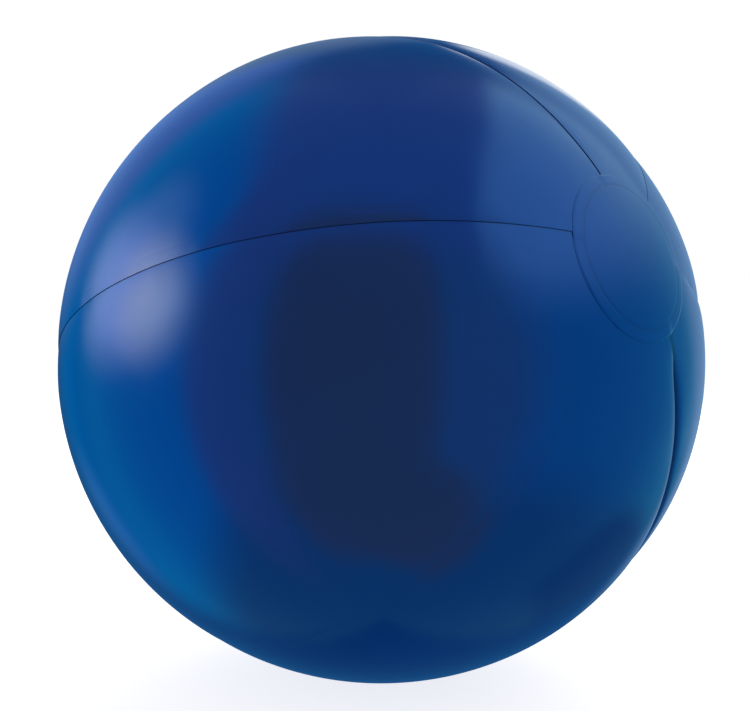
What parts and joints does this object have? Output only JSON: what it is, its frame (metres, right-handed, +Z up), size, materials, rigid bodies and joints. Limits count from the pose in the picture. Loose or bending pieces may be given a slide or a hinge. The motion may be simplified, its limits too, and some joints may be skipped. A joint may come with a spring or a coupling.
{
  "type": "inflatable beach ball",
  "caption": "Inflatable play ball of welded vinyl gores and round end discs, with a push-in blow valve, hinged stopper and non-return flap.",
  "frame": {"origin": "middle of the flat patch that the ball stands on, straight below its centre", "axes": "+Z up, +Y out through the valve, -Y towards the side with the front end disc, +X to the right seen from -Y"},
  "size_m": [0.3025, 0.307, 0.3024],
  "materials": {
    "blue_film": "glossy blue PVC film, welded",
    "valve_vinyl": "satin natural soft PVC moulding"
  },
  "bodies": {
    "ball": {"gore_1": "blue_film", "gore_2": "blue_film", "gore_3": "blue_film", "gore_4": "blue_film", "gore_5": "blue_film", "gore_6": "blue_film", "end_disc_front": "blue_film", "end_disc_back": "blue_film", "valve_flange": "valve_vinyl", "valve_diaphragm": "valve_vinyl"},
    "valve_stem": {"valve_stem": "valve_vinyl"},
    "stopper": {"stopper": "valve_vinyl"},
    "check_flap": {"check_flap": "valve_vinyl"}
  },
  "joints": [
    {"name": "valve_pull", "type": "slide", "parent": "ball", "child": "valve_stem", "axis": [0, 1, 0], "range_m": [0, 0.012], "deforming": ["valve_diaphragm"]},
    {"name": "stopper_hinge", "type": "hinge", "parent": "valve_stem", "child": "stopper", "pos_m": [-0.008, 0.1547, 0.15091], "axis": [0, 0, 1], "range_deg": [0, 150]},
    {"name": "flap_hinge", "type": "hinge", "parent": "valve_stem", "child": "check_flap", "pos_m": [-0.005, 0.1391, 0.15091], "axis": [0, 0, -1], "range_deg": [0, 40], "stiffness_Nm_per_rad": 0.0002, "springref_deg": -11.46}
  ]
}
